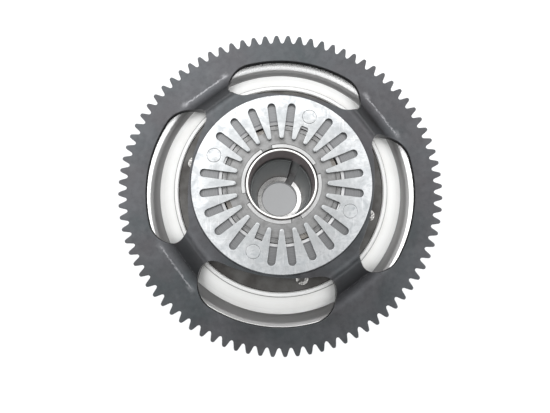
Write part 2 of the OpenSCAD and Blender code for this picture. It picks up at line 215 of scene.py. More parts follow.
def lathe_data(outline, segments=256, start=0.0, sweep=FULL):
    """Vertices and faces of an outline (r, z) turned about Z, with closed ends on a part turn."""
    whole = abs(sweep - FULL) < 1e-9
    rows = segments if whole else segments + 1
    n = len(outline)
    verts = []
    for i in range(rows):
        a = start + sweep * i / segments
        verts += [(r * math.cos(a), r * math.sin(a), z) for r, z in outline]
    faces = []
    for i in range(segments):
        near, far = i * n, ((i + 1) % rows) * n
        faces += [(near + j, far + j, far + (j + 1) % n, near + (j + 1) % n) for j in range(n)]
    if not whole:
        faces += [tuple(range(n)), tuple(range((rows - 1) * n, rows * n))]
    return verts, faces


def joined(parts):
    verts, faces = [], []
    for v, f in parts:
        first = len(verts)
        verts += v
        faces += [tuple(first + k for k in face) for face in f]
    return verts, faces


def moved(data, a, x=0.0):
    """The data set off along X by x, then turned about Z by a."""
    verts, faces = data
    c, s = math.cos(a), math.sin(a)
    return [((px + x) * c - py * s, (px + x) * s + py * c, z) for px, py, z in verts], faces


def around(data, count, first, x):
    """Copies of the data round the crank axis at radius x, the first at angle first."""
    return joined([moved(data, first + FULL * i / count, x) for i in range(count)])


def inside(loop, points):
    """Which of the points lie in the loop."""
    xs, ys = points[:, 0], points[:, 1]
    hit = np.zeros(len(points), bool)
    for (x0, y0), (x1, y1) in zip(loop, loop[1:] + loop[:1]):
        if y0 == y1:
            continue
        crosses = (y0 > ys) != (y1 > ys)
        hit ^= crosses & (xs < (x1 - x0) * (ys - y0) / (y1 - y0) + x0)
    return hit


def relief(outer, holes, z_top, z_bottom, edge, guides=()):
    """A solid between two heights over the plane region, its top and bottom edges rounded by edge."""
    loops = [wound(without_repeats(outer), True)] + [wound(without_repeats(h), False) for h in holes]
    loops = [inset(loop, edge) for loop in loops]
    points, lines = [], []
    for loop in loops:
        first = len(points)
        points += loop
        lines += [(first + i, first + (i + 1) % len(loop)) for i in range(len(loop))]
    for guide in guides:
        first = len(points)
        points += guide
        lines += [(first + i, first + i + 1) for i in range(len(guide) - 1)]
    out = geometry.delaunay_2d_cdt([Vector(p) for p in points], lines, [], 0, 1e-5)
    flat, triangles = [tuple(v) for v in out[0]], [tuple(f) for f in out[2]]
    centres = np.array([[sum(flat[k][c] for k in t) / 3 for c in (0, 1)] for t in triangles])
    keep = inside(loops[0], centres)
    for loop in loops[1:]:
        keep &= ~inside(loop, centres)
    triangles = [t for t, k in zip(triangles, keep) if k]
    triangles = [t if area([flat[k] for k in t]) > 0 else t[::-1] for t in triangles]

    edges = {(t[i], t[(i + 1) % 3]) for t in triangles for i in range(3)}
    border = [e for e in edges if (e[1], e[0]) not in edges]
    outward = {}
    for a, b in border:
        d = (Vector(flat[b]) - Vector(flat[a])).normalized()
        for k in (a, b):
            outward.setdefault(k, []).append(Vector((d.y, -d.x)))
    used = sorted({k for t in triangles for k in t})
    upper = {k: i for i, k in enumerate(used)}
    verts = [(*flat[k], z_top(*flat[k])) for k in used]
    lower = {k: len(verts) + i for i, k in enumerate(used)}
    verts += [(*flat[k], z_bottom(*flat[k])) for k in used]
    faces = [tuple(upper[k] for k in t) for t in triangles]
    faces += [tuple(lower[k] for k in t[::-1]) for t in triangles]

    rings = {}
    for k, normals in outward.items():
        n = sum(normals, Vector((0, 0))).normalized()
        stretch = 1 / max(0.5, n.dot(normals[0]))
        p, high, low = Vector(flat[k]), z_top(*flat[k]), z_bottom(*flat[k])
        chain = [upper[k]]
        for side, level in ((-1, high), (1, low)):
            steps = range(1, ROUND_STEPS + 1) if side < 0 else range(ROUND_STEPS, 0, -1)
            for i in steps:
                a = QUARTER * i / ROUND_STEPS
                q = p + n * (edge * math.sin(a) * stretch)
                chain.append(len(verts))
                verts.append((q.x, q.y, level + side * edge * (1 - math.cos(a))))
        rings[k] = chain + [lower[k]]
    for a, b in border:
        ca, cb = rings[a], rings[b]
        faces += [(ca[i], ca[i + 1], cb[i + 1], cb[i]) for i in range(len(ca) - 1)]
    return verts, faces


def level(z):
    return lambda x, y: z


def steps_of(rows):
    """Height against radius, straight between the rows (r, z)."""
    rs, zs = zip(*rows)
    return lambda x, y: float(np.interp(math.hypot(x, y), rs, zs))


def ring_guides(rows):
    """Closed rings of mesh edges at the radii of the rows (r, z)."""
    return [circle(r) + [(r, 0.0)] for r, _ in rows]


# ---- Materials ----

class Nodes:
    """The node tree of a material or world, with short calls for the nodes that repeat."""

    def __init__(self, owner, shader, place):
        owner.use_nodes = True
        self.owner = owner
        self.tree = owner.node_tree
        self.shader = self.tree.nodes[shader]
        self.place = self.add("ShaderNodeTexCoord").outputs[place]

    def add(self, kind, **settings):
        node = self.tree.nodes.new(kind)
        for key, value in settings.items():
            setattr(node, key, value)
        return node

    def link(self, source, target):
        self.tree.links.new(source, target)

    def feed(self, socket, value):
        if isinstance(value, bpy.types.NodeSocket):
            self.link(value, socket)
        else:
            socket.default_value = value

    def math(self, operation, a, b=0.0):
        node = self.add("ShaderNodeMath", operation=operation)
        self.feed(node.inputs[0], a)
        self.feed(node.inputs[1], b)
        return node.outputs[0]

    def product(self, a, b):
        return self.math("MULTIPLY", a, b)

    def noise(self, size_mm, detail=4.0, roughness=0.55, stretch=None, distortion=0.0):
        node = self.add("ShaderNodeTexNoise")
        node.inputs["Scale"].default_value = 1 / (size_mm * MM)
        node.inputs["Detail"].default_value = detail
        node.inputs["Roughness"].default_value = roughness
        node.inputs["Distortion"].default_value = distortion
        source = self.place
        if stretch:
            mapping = self.add("ShaderNodeMapping")
            mapping.inputs["Scale"].default_value = stretch
            self.link(source, mapping.inputs["Vector"])
            source = mapping.outputs["Vector"]
        self.link(source, node.inputs["Vector"])
        return node.outputs["Fac"]

    def span(self, value, low, high, to_low=0.0, to_high=1.0, smooth=False):
        node = self.add("ShaderNodeMapRange", interpolation_type="SMOOTHSTEP" if smooth else "LINEAR")
        self.feed(node.inputs["Value"], value)
        node.inputs["From Min"].default_value = low
        node.inputs["From Max"].default_value = high
        node.inputs["To Min"].default_value = to_low
        node.inputs["To Max"].default_value = to_high
        return node.outputs["Result"]

    def blend(self, amount, a, b):
        node = self.add("ShaderNodeMix", data_type="RGBA")
        self.feed(node.inputs["Factor"], amount)
        self.feed(node.inputs["A"], a)
        self.feed(node.inputs["B"], b)
        return node.outputs["Result"]

    def polar(self):
        """Radius in mm, angle in turns and height in mm, all about the crank axis."""
        parts = self.add("ShaderNodeSeparateXYZ")
        self.link(self.place, parts.inputs["Vector"])
        x, y, z = parts.outputs
        squares = self.math("ADD", self.product(x, x), self.product(y, y))
        radius = self.math("DIVIDE", self.math("SQRT", squares), MM)
        angle = self.math("DIVIDE", self.math("ARCTAN2", y, x), FULL)
        return radius, angle, self.math("DIVIDE", z, MM)

    def band(self, value, low, high, soft):
        """1 between low and high, 0 past them by soft."""
        return self.math(
            "MULTIPLY", self.span(value, low - soft, low), self.span(value, high, high + soft, 1.0, 0.0))

    def walls(self):
        """1 on walls that stand upright, 0 on faces and slopes."""
        parts = self.add("ShaderNodeSeparateXYZ")
        self.link(self.add("ShaderNodeNewGeometry").outputs["Normal"], parts.inputs["Vector"])
        return self.span(self.math("ABSOLUTE", parts.outputs["Z"]), 0.15, 0.38, 1.0, 0.0)

    def turning(self, pitch_mm):
        """Fine uneven grooves, as a lathe leaves them: rings on faces and on walls."""
        radius, _, height = self.polar()
        along = self.math("ADD", radius, self.product(height, 1.7))
        groove = self.add("ShaderNodeTexNoise", noise_dimensions="1D")
        groove.inputs["Scale"].default_value = 1 / pitch_mm
        groove.inputs["Detail"].default_value = 3.0
        self.link(along, groove.inputs["W"])
        return groove.outputs["Fac"]

    def edge_mask(self, width_mm):
        """1 on worn edges, 0 on faces."""
        bevel = self.add("ShaderNodeBevel", samples=6)
        bevel.inputs["Radius"].default_value = width_mm * MM
        flat = self.add("ShaderNodeNewGeometry")
        dot = self.add("ShaderNodeVectorMath", operation="DOT_PRODUCT")
        self.link(bevel.outputs["Normal"], dot.inputs[0])
        self.link(flat.outputs["Normal"], dot.inputs[1])
        return self.span(self.math("SUBTRACT", 1.0, dot.outputs["Value"]), 0.02, 0.16)

    def bump(self, *layers):
        """Bump from (height, depth in mm) layers."""
        normal = None
        for height, depth_mm in layers:
            node = self.add("ShaderNodeBump")
            node.inputs["Distance"].default_value = depth_mm * MM
            node.inputs["Strength"].default_value = 1.0
            self.link(height, node.inputs["Height"])
            if normal:
                self.link(normal, node.inputs["Normal"])
            normal = node.outputs["Normal"]
        self.link(normal, self.shader.inputs["Normal"])

    def finish(self, colour, roughness, metallic=1.0):
        self.feed(self.shader.inputs["Base Color"], colour)
        self.feed(self.shader.inputs["Roughness"], roughness)
        self.shader.inputs["Metallic"].default_value = metallic
        return self.owner


def surface(name):
    return Nodes(bpy.data.materials.new(name), "Principled BSDF", "Object")


def turned_steel(name, light, dark, rough, pitch_mm=0.25, stain_mm=14.0):
    """Lathe-turned steel with faint staining."""
    n = surface(name)
    grooves = n.turning(pitch_mm)
    stain = n.span(n.noise(stain_mm, 5.0, 0.6), 0.42, 0.68, smooth=True)
    fine = n.noise(0.6, 3.0)
    colour = n.blend(n.product(stain, 0.8), light, dark)
    colour = n.blend(n.span(grooves, 0.35, 0.65, 0.0, 0.25), colour, dark)
    roughness = n.span(fine, 0.3, 0.7, rough - 0.05, rough + 0.07)
    roughness = n.math("ADD", roughness, n.product(stain, 0.1))
    n.bump((grooves, 0.004), (fine, 0.002))
    return n.finish(colour, roughness)


def spoke_marks(n):
    """Bright line in each spoke's lower bend, partly wear and partly a painted highlight, worn smudges at its
    ends, and painted shade on the slope above it.
    """
    radius, angle, height = n.polar()
    phase = n.math("FRACT", n.math("ADD", n.product(angle, 4), 0.5 - 4 * SPOKE_TURN / FULL))
    lean = n.product(n.math("SUBTRACT", phase, 0.5), QUARTER)
    wobble = n.span(n.noise(1.3, 4.0, 0.7), 0.25, 0.75, -0.55, 0.55)
    along = n.math("ADD", n.product(radius, n.math("COSINE", lean)), wobble)
    across = n.math("ABSOLUTE", n.product(radius, n.math("SINE", lean)))
    broken = n.span(n.noise(0.9, 3.0, 0.7), 0.34, 0.56)
    bend_d, witness_d = LOWER_BEND_D, 53.8
    least_worn = n.span(n.math("ABSOLUTE", n.math("ADD", angle, LEAST_WORN_SPOKE)), 0.06, 0.10)
    # Bright line along the lower bend: part wear, part painted highlight.
    line = n.band(along, bend_d - 0.45, bend_d - 0.05, 0.3)
    line = n.product(line, n.span(across, 12.0, 13.0, 1.0, 0.0))
    ends = n.product(n.band(along, bend_d - 0.3, bend_d + 0.4, 1.3), n.band(across, 11.0, 12.0, 2.2))
    ends = n.product(ends, n.span(n.noise(1.8, 3.0), 0.3, 0.7, 0.15, 0.8))
    wear_and_highlight = n.product(n.math("MAXIMUM", n.product(line, broken), ends), least_worn)
    witness = n.band(along, witness_d - 0.05, witness_d + 0.1, 0.25)
    witness = n.product(witness, n.span(across, 7.0, 9.0, 1.0, 0.0))
    witness = n.product(n.product(witness, broken), n.span(angle, -0.05, -0.1))
    # Painted shade on the spoke slope above the bend.
    dark = n.band(along, bend_d - 15.8, bend_d - 0.8, 0.5)
    dark = n.product(dark, n.span(height, RING_TOP + 0.02, RING_TOP + 0.3))
    return n.math("MAXIMUM", wear_and_highlight, n.product(witness, 0.7)), dark


def blackened_steel():
    """Black-oxide gear steel: cloudy film, fine grain, rubbed edges, worn bends with a painted highlight and
    painted shade on the spoke slopes, and window walls painted dark as shade.
    """
    n = surface("blackened_steel")
    clouds = n.noise(22.0, 6.0, 0.62, distortion=0.4)
    grain = n.noise(0.35, 3.0, 0.6)
    patches = n.span(n.noise(6.0, 5.0, 0.7), 0.5, 0.75)
    tint = n.span(n.noise(30.0, 3.0), 0.42, 0.58)
    film = n.blend(tint, (0.070, 0.068, 0.071, 1), (0.062, 0.069, 0.072, 1))
    film = n.blend(n.span(clouds, 0.35, 0.65), film, (0.088, 0.090, 0.095, 1))
    film = n.blend(n.product(patches, 0.35), film, (0.115, 0.117, 0.121, 1))
    film = n.blend(n.span(n.noise(2.6, 5.0, 0.7), 0.46, 0.62, 0.0, 0.28), film, (0.045, 0.045, 0.048, 1))
    wear_and_highlight, dark = spoke_marks(n)
    # Darkens the spoke slopes: painted shade.
    film = n.blend(n.product(dark, 0.25), film, (0.030, 0.031, 0.034, 1))
    radius, _, height = n.polar()
    # Painted shade: upright window walls darkened nearly to black.
    window_walls = n.product(n.walls(), n.span(radius, WINDOW_R + 1, WINDOW_R + 3, 1.0, 0.0))
    film = n.blend(n.product(window_walls, 0.75), film, (0.018, 0.018, 0.020, 1))
    edges = n.product(n.edge_mask(0.35), n.span(n.noise(2.2, 4.0, 0.7), 0.38, 0.62))
    # Rubbed edges, plus the bend line that is part wear and part painted highlight.
    rubbed_and_highlit = n.math("MAXIMUM", n.product(edges, 0.45), n.product(wear_and_highlight, 0.6))
    colour = n.blend(rubbed_and_highlit, film, (0.30, 0.30, 0.31, 1))
    seat = n.span(radius, reach("star_spring") - 0.1, reach("star_spring") - 0.3)
    seat = n.product(seat, n.span(height, SEAT_TOP - 0.25, SEAT_TOP - 0.1))
    bare = n.blend(n.span(n.turning(0.3), 0.3, 0.7), (0.23, 0.232, 0.234, 1), (0.155, 0.157, 0.16, 1))
    colour = n.blend(seat, colour, bare)
    colour = n.blend(n.span(radius, CUP_MOUTH_R + 0.1, CUP_MOUTH_R), colour, (0.34, 0.34, 0.34, 1))
    lip = n.band(radius, CUP_MOUTH_R + 0.1, CUP_MOUTH_R + 0.5, 0.15)
    colour = n.blend(lip, colour, (0.13, 0.13, 0.135, 1))
    roughness = n.math("SUBTRACT", n.span(clouds, 0.3, 0.7, 0.32, 0.42), n.product(rubbed_and_highlit, 0.1))
    n.bump((grain, 0.005), (n.noise(2.5, 4.0, 0.6), 0.010))
    return n.finish(colour, roughness)


def zinc(name="zinc_plate", cloudy=1.0):
    """Bright zinc with cloudy mottling and fine handling scratches, the fingers darkened as painted shade, and
    the slot-end walls painted dark as shade.
    """
    n = surface(name)
    clouds = n.noise(7.0, 6.0, 0.68, distortion=0.8)
    spots = n.span(n.noise(1.6, 4.0, 0.6), 0.52, 0.68)
    smears = n.span(n.noise(11.0, 5.0, 0.75, distortion=1.5), 0.50, 0.62)
    colour = n.blend(n.span(clouds, 0.38, 0.60), (0.40, 0.415, 0.425, 1), (0.62, 0.63, 0.635, 1))
    colour = n.blend(n.product(spots, 0.45 * cloudy), colour, (0.31, 0.33, 0.34, 1))
    colour = n.blend(n.product(smears, 0.35), colour, (0.33, 0.335, 0.33, 1))
    for stretch in ((0.06, 1.0, 1.0), (1.0, 0.07, 1.0)):
        scratch = n.span(n.noise(0.8, 2.0, 0.5, stretch=stretch), 0.64, 0.70)
        colour = n.blend(n.product(scratch, 0.4), colour, (0.80, 0.80, 0.80, 1))
    radius, _, _ = n.polar()
    # Painted shade: the fingers darkened inwards of the slot ends.
    finger_shade = n.span(radius, SLOT_END_R - 1.2, SLOT_END_R - 6.2, 0.0, 0.45)
    colour = n.blend(finger_shade, colour, (0.36, 0.37, 0.37, 1))
    # Painted shadow: the upright walls at the slot ends darkened.
    cut = n.product(n.walls(), n.span(radius, SLOT_END_R + 1.8, SLOT_END_R + 1.3))
    colour = n.blend(n.product(cut, 0.75), colour, (0.10, 0.105, 0.11, 1))
    roughness = n.span(clouds, 0.3, 0.7, 0.44, 0.28)
    n.bump((clouds, 0.03), (spots, 0.012 * cloudy), (n.noise(0.3, 3.0), 0.003))
    return n.finish(colour, roughness)


def dull_metal(name, light, dark, rough, cloud_mm=8.0, metallic=1.0, grain_depth=0.008, peened_z=None):
    """Plain metal or moulding with clouding, grain and rubbed edges, hammered bright above peened_z."""
    n = surface(name)
    clouds = n.noise(cloud_mm, 5.0, 0.6)
    grain = n.noise(0.4, 3.0, 0.6)
    colour = n.blend(n.span(clouds, 0.36, 0.64), dark, light)
    edge = n.product(n.edge_mask(0.25), n.span(n.noise(1.5, 3.0), 0.35, 0.6))
    bright = tuple(min(1.0, c * 1.8 + 0.05) for c in light[:3]) + (1,)
    colour = n.blend(n.product(edge, 0.6), colour, bright)
    if peened_z:
        _, _, height = n.polar()
        dents = n.span(n.noise(0.7, 3.0), 0.4, 0.6)
        hammered = n.blend(dents, (0.16, 0.155, 0.15, 1), (0.60, 0.59, 0.57, 1))
        colour = n.blend(n.span(height, peened_z - 0.1, peened_z), colour, hammered)
    roughness = n.span(clouds, 0.3, 0.7, rough + 0.05, rough - 0.06)
    n.bump((grain, grain_depth))
    return n.finish(colour, roughness, metallic)


def stained_bore(name, foot_z, rim_z):
    """A ground bore: brown with oil inside, darker at its foot, bright on its end face."""
    n = surface(name)
    _, _, height = n.polar()
    rim = n.span(height, rim_z - 0.35, rim_z - 0.1)
    streaks = n.noise(1.4, 4.0, 0.6, stretch=(1.0, 1.0, 0.12))
    wall = n.blend(n.span(streaks, 0.35, 0.65), (0.110, 0.070, 0.070, 1), (0.200, 0.136, 0.134, 1))
    wall = n.blend(n.span(height, foot_z + 0.7, foot_z + 0.4, 0.0, 0.9), wall, (0.02, 0.018, 0.018, 1))
    colour = n.blend(rim, wall, (0.88, 0.87, 0.84, 1))
    n.bump((streaks, 0.004), (n.turning(0.2), 0.003))
    return n.finish(colour, n.span(streaks, 0.3, 0.7, 0.30, 0.42))


def rotor_steel():
    """Bright turning on the gear side, with painted shade on the cone next to the rim, a painted shadow line
    on the lip wall and painted shade on the cove; a bright land, plain grey on the wall and inside.
    """
    n = surface("machined_steel")
    radius, _, height = n.polar()
    grooves = n.turning(0.5)
    fine = n.noise(0.8, 3.0)
    stain = n.span(n.noise(16.0, 5.0, 0.6), 0.45, 0.7, smooth=True)
    bright = n.blend(n.product(stain, 0.5), (0.97, 0.97, 0.95, 1), (0.88, 0.87, 0.84, 1))
    bright = n.blend(n.span(grooves, 0.30, 0.48, 0.25, 0.0), bright, (0.78, 0.78, 0.77, 1))
    # Painted shadow on the top of the cone, next to the rim.
    cone_top_shadow = n.span(height, CONE_TOP[1] - 2.6, CONE_TOP[1] + 0.1, 0.0, 0.3)
    bright = n.blend(cone_top_shadow, bright, (0.50, 0.48, 0.46, 1))
    rim = n.span(height, CUP_TOP - 0.25, CUP_TOP - 0.1)
    bright = n.blend(rim, bright, (0.64, 0.64, 0.63, 1))
    # Painted shadow: the lip wall between cone and rim painted nearly black.
    lip_wall_shade = n.band(height, CONE_TOP[1] - 0.02, CUP_TOP - 0.3, 0.06)
    lip_wall_shade = n.product(lip_wall_shade, n.span(radius, CONE_TOP[0] - 0.7, CONE_TOP[0] - 0.5))
    bright = n.blend(n.product(lip_wall_shade, 0.9), bright, (0.08, 0.08, 0.08, 1))
    below_cone = n.span(height, CONE_FOOT[1] - 0.05, CONE_FOOT[1] - 0.2)
    cove = n.product(below_cone, n.span(radius, LAND_IN_R, LAND_IN_R + 0.5, 1.0, 0.0))
    # Painted shade on the cove, darkest at its inner side.
    cove_shade = n.span(radius, LAND_IN_R - 5.3, LAND_IN_R)
    cove_shade = n.blend(cove_shade, (0.32, 0.315, 0.31, 1), (0.47, 0.465, 0.46, 1))
    bright = n.blend(cove, bright, cove_shade)
    land = n.span(radius, LAND_IN_R, LAND_IN_R + 0.5)
    land = n.product(land, n.span(height, COVE_FLOOR - 0.1, COVE_FLOOR + 0.1))
    bright = n.blend(land, bright, (1.0, 1.0, 0.99, 1))
    plain = n.blend(stain, (0.38, 0.383, 0.387, 1), (0.29, 0.29, 0.29, 1))
    plain = n.blend(n.span(grooves, 0.35, 0.6, 0.3, 0.0), plain, (0.24, 0.24, 0.24, 1))
    shoulder_in_r = 60.2
    shoulder = n.band(radius, shoulder_in_r, LAND_OUT_R + 0.8, 0.2)
    shoulder = n.product(shoulder, n.span(height, COVE_FLOOR - 0.3, COVE_FLOOR - 0.1))
    gear_side = n.math("MAXIMUM", n.span(height, SHOULDER_Z - 1.4, SHOULDER_Z - 0.4), shoulder)
    colour = n.blend(gear_side, plain, bright)
    off_land = n.span(land, 0.0, 1.0, 1.0, 0.0)
    n.bump((n.product(grooves, off_land), 0.006), (n.product(fine, off_land), 0.001))
    n.link(n.span(land, 0.0, 1.0, 0.35, 1.0), n.shader.inputs["Metallic"])
    roughness = n.math("SUBTRACT", n.span(fine, 0.3, 0.7, 0.36, 0.46), n.product(land, 0.12))
    return n.finish(colour, roughness, metallic=0.35)


def boss_steel():
    """Boss: taper bore painted dark as shade with oil streaks, a painted shadow at its foot, bright ledge
    where the crank bolt's washer seats with painted highlight and shade round it, plain grey outside.
    """
    n = surface("boss_steel")
    radius, angle, height = n.polar()
    streaks = n.noise(1.6, 4.0, 0.6, stretch=(1.0, 1.0, 0.15))
    outside = n.blend(n.span(n.noise(9.0), 0.4, 0.6), (0.40, 0.39, 0.38, 1), (0.30, 0.29, 0.285, 1))
    # Taper wall base kept dark as painted shade, with oil streaks.
    wall = n.blend(n.span(streaks, 0.35, 0.65), (0.115, 0.127, 0.126, 1), (0.20, 0.215, 0.212, 1))
    taper = n.span(height, LEDGE_Z, BOSS_TOP, TAPER_SMALL_R, TAPER_BIG_R)
    past_taper = n.span(n.math("SUBTRACT", radius, taper), 0.2, 0.4)
    keyway = n.math("MAXIMUM", past_taper, n.span(height, LEDGE_Z - 0.4, LEDGE_Z - 0.7))
    # Painted shadow: a dark band at the foot of the taper wall.
    foot = n.span(height, LEDGE_Z + 2.5, LEDGE_Z + 0.8)
    wall = n.blend(n.product(foot, 0.85), wall, (0.02, 0.02, 0.02, 1))
    deep = n.span(height, LEDGE_Z + 23, LEDGE_Z - 1)
    wall = n.blend(keyway, wall, n.blend(deep, (0.14, 0.145, 0.145, 1), (0.50, 0.50, 0.50, 1)))
    in_bore = n.span(radius, TAPER_BIG_R + 2.5, TAPER_BIG_R + 2.4)
    in_bore = n.product(in_bore, n.span(height, BOLT_SEAT_Z - 0.5, BOLT_SEAT_Z - 0.1))
    ledge = n.span(height, LEDGE_Z + 0.1, LEDGE_Z + 0.05)
    ledge = n.product(ledge, n.span(height, LEDGE_Z - 0.7, LEDGE_Z - 0.4))
    ledge = n.product(ledge, n.span(radius, TAPER_SMALL_R - 0.05, TAPER_SMALL_R - 0.1))
    colour = n.blend(in_bore, outside, wall)
    # Painted highlight and shade: the ledge is brightest towards the key and darker opposite, plus random
    # blots.
    lit_side = n.math("COSINE", n.product(n.math("SUBTRACT", angle, KEY_TURN / FULL), FULL))
    blots = n.span(n.noise(2.4, 3.0), 0.5, 0.75, 0.0, 0.5)
    shade_and_blots = n.math("ADD", n.span(lit_side, -1.0, 0.6, 0.9, 0.0), blots)
    colour = n.blend(ledge, colour, n.blend(shade_and_blots, (0.95, 0.94, 0.92, 1), (0.26, 0.26, 0.255, 1)))
    n.bump((n.product(streaks, n.span(ledge, 0.0, 0.1, 1.0, 0.0)), 0.006))
    roughness = n.blend(ledge, n.span(streaks, 0.3, 0.7, 0.34, 0.46), (0.16, 0.16, 0.16, 1))
    return n.finish(colour, roughness)


# ---- Starter gear ----

PRESSURE_ANGLE = math.radians(20)
SPOKE_W = 14.4
OUTER_CORNER_R = 12.0
INNER_CORNER_R = 7.0
INNER_EDGE_R = 73.0
INNER_REACH = 38.8
SLOPE = math.radians(58.4)
LOWER_BEND_R, LOWER_BEND_D = 7.75, 59.8
UPPER_BEND_R = 5.0
CUP_R, CUP_MOUTH_R = 25.2, 26.3
CUP_FLOOR, CUP_BOTTOM = 63.3, 61.5
CUP_OUT_R = 29.0
SEAT_R = 38.0
RIM_IN_R = 66.0


def tooth_outline():
    def involute(r):
        c = PITCH_R * math.cos(PRESSURE_ANGLE) / max(r, PITCH_R * math.cos(PRESSURE_ANGLE))
        return math.tan(math.acos(c)) - math.acos(c)

    def half_tooth(r):
        return QUARTER / TEETH + involute(PITCH_R) - involute(r)

    heights = [0.0, 0.12, 0.3, 0.5, 0.7, 0.88, 1.0]
    flank = []
    for k in heights:
        r = ROOT_R + (TIP_R - ROOT_R) * k
        fillet = 0.006 * max(0.0, 1 - k / 0.2) ** 2
        tip_round = 0.0035 * max(0.0, (k - 0.85) / 0.15) ** 2
        a = half_tooth(r) + fillet - tip_round
        flank.append((r, a))
    tooth = [(r * math.cos(-a), r * math.sin(-a)) for r, a in flank]
    tooth += [(r * math.cos(a), r * math.sin(a)) for r, a in flank[::-1]]
    return [p for i in range(TEETH) for p in turned(tooth, TOOTH_TURN + FULL * i / TEETH)]


def window_outline():
    side = SPOKE_W / 2
    oy = side + OUTER_CORNER_R
    ox = math.sqrt((WINDOW_R - OUTER_CORNER_R) ** 2 - oy ** 2)
    off = (INNER_REACH - INNER_EDGE_R) * math.sqrt(0.5)
    iy = side + INNER_CORNER_R
    ix = off + math.sqrt((INNER_EDGE_R + INNER_CORNER_R) ** 2 - (iy - off) ** 2)
    corner = math.atan2(iy - off, ix - off)
    half = arc((0, 0), WINDOW_R, QUARTER / 2, math.atan2(oy, ox), 20)
    half += arc((ox, oy), OUTER_CORNER_R, math.atan2(oy, ox), -QUARTER, 20)
    half += arc((ix, iy), INNER_CORNER_R, -QUARTER, corner - math.pi, 14)
    half += arc((off, off), INNER_EDGE_R, corner, QUARTER / 2, 12)
    half = turned(half, -QUARTER / 2)
    return half + [(x, -y) for x, y in half[::-1]]


def spoke_height(d, offset):
    """Height of the web at distance d along a spoke; offset is 0 on top and the web's thickness below."""
    low = (LOWER_BEND_D, RING_TOP + LOWER_BEND_R)
    r_low, r_high = LOWER_BEND_R + offset, UPPER_BEND_R - offset
    high_z = FLANGE_TOP - UPPER_BEND_R
    run = (high_z - low[1] + (LOWER_BEND_R + UPPER_BEND_R) * math.cos(SLOPE)) / math.sin(SLOPE)
    high_d = low[0] - (LOWER_BEND_R + UPPER_BEND_R) * math.sin(SLOPE) - run * math.cos(SLOPE)
    if d >= low[0]:
        return RING_TOP - offset
    if d <= high_d:
        return FLANGE_TOP - offset
    foot = low[0] - r_low * math.sin(SLOPE)
    head = high_d + r_high * math.sin(SLOPE)
    if d > foot:
        return low[1] - math.sqrt(r_low ** 2 - (low[0] - d) ** 2)
    if d < head:
        return high_z + math.sqrt(r_high ** 2 - (d - high_d) ** 2)
    return low[1] - r_low * math.cos(SLOPE) + (foot - d) * math.tan(SLOPE)


def web_height(x, y, offset):
    r = math.hypot(x, y)
    a = (math.atan2(y, x) - SPOKE_TURN + QUARTER / 2) % QUARTER - QUARTER / 2
    rise = spoke_height(r * math.cos(a), offset) - (RING_TOP - offset)
    ease = min(1.0, max(0.0, (WINDOW_R - r) / 3.0))
    return RING_TOP - offset + rise * ease * ease * (3 - 2 * ease)


GEAR_TOP_STEPS = [
    (CUP_R - 0.06, CUP_FLOOR), (CUP_R, SEAT_TOP - 0.55), (CUP_MOUTH_R, SEAT_TOP - 0.02),
    (CUP_MOUTH_R + 0.12, SEAT_TOP), (SEAT_R, SEAT_TOP), (SEAT_R + 0.3, FLANGE_TOP),
]
GEAR_LOW_STEPS = [
    (CUP_OUT_R - 0.3, CUP_BOTTOM), (CUP_OUT_R, CUP_BOTTOM + 0.3), (CUP_OUT_R + 0.06, FLANGE_TOP - WEB_T),
]
RIM_LOW_STEPS = [
    (RIM_IN_R - 0.1, RING_TOP - WEB_T), (RIM_IN_R, RING_BOTTOM + 0.4), (RIM_IN_R + 0.4, RING_BOTTOM),
]


def gear_top(x, y):
    r = math.hypot(x, y)
    return steps_of(GEAR_TOP_STEPS)(x, y) if r <= GEAR_TOP_STEPS[-1][0] else web_height(x, y, 0.0)


def gear_bottom(x, y):
    r = math.hypot(x, y)
    if r <= GEAR_LOW_STEPS[-1][0]:
        return steps_of(GEAR_LOW_STEPS)(x, y)
    if r >= WINDOW_R:
        return steps_of(RIM_LOW_STEPS)(x, y)
    return web_height(x, y, WEB_T)


def spoke_guides():
    """Lines across each spoke, close together in its bends."""
    bends = [59.8, 58.8, 57.8, 56.8, 55.9, 55.0, 54.2, 53.2, 50.5, 48, 45.8, 45.1, 44.3, 43.4, 42.4, 41.3]
    spoke_lean, rim_lean = math.radians(25), 0.41
    lines = []
    for i in range(4):
        for d in bends:
            half = d * math.tan(spoke_lean)
            line = [(d, -half + 2 * half * k / 12) for k in range(13)]
            lines.append(turned(line, SPOKE_TURN + i * QUARTER))
        for depth in (2.5, 1.7, 0.8, 0.03):
            ring = arc((0, 0), WINDOW_R - depth, -rim_lean, rim_lean, 24)
            lines.append(turned(ring, SPOKE_TURN + i * QUARTER))
    return lines


def starter_gear():
    windows = [turned(window_outline(), SPOKE_TURN + QUARTER * (i + 0.5)) for i in range(4)]
    guides = ring_guides(GEAR_TOP_STEPS + GEAR_LOW_STEPS + RIM_LOW_STEPS) + spoke_guides()
    data = relief(tooth_outline(), windows + [circle(COLLAR_R + 0.08)], gear_top, gear_bottom, 0.22, guides)
    piece("starter_gear", *data, "gear", blackened_steel(), "blackened_steel")


# ---- Star spring and its rivets ----

FINGERS = 24
SLOT_W = 3.35
SLOT_END_R = 34.2
SHORT_SLOT_R = 25.7
FINGER_TIP_R = 19.0
RIVET_R = 2.9


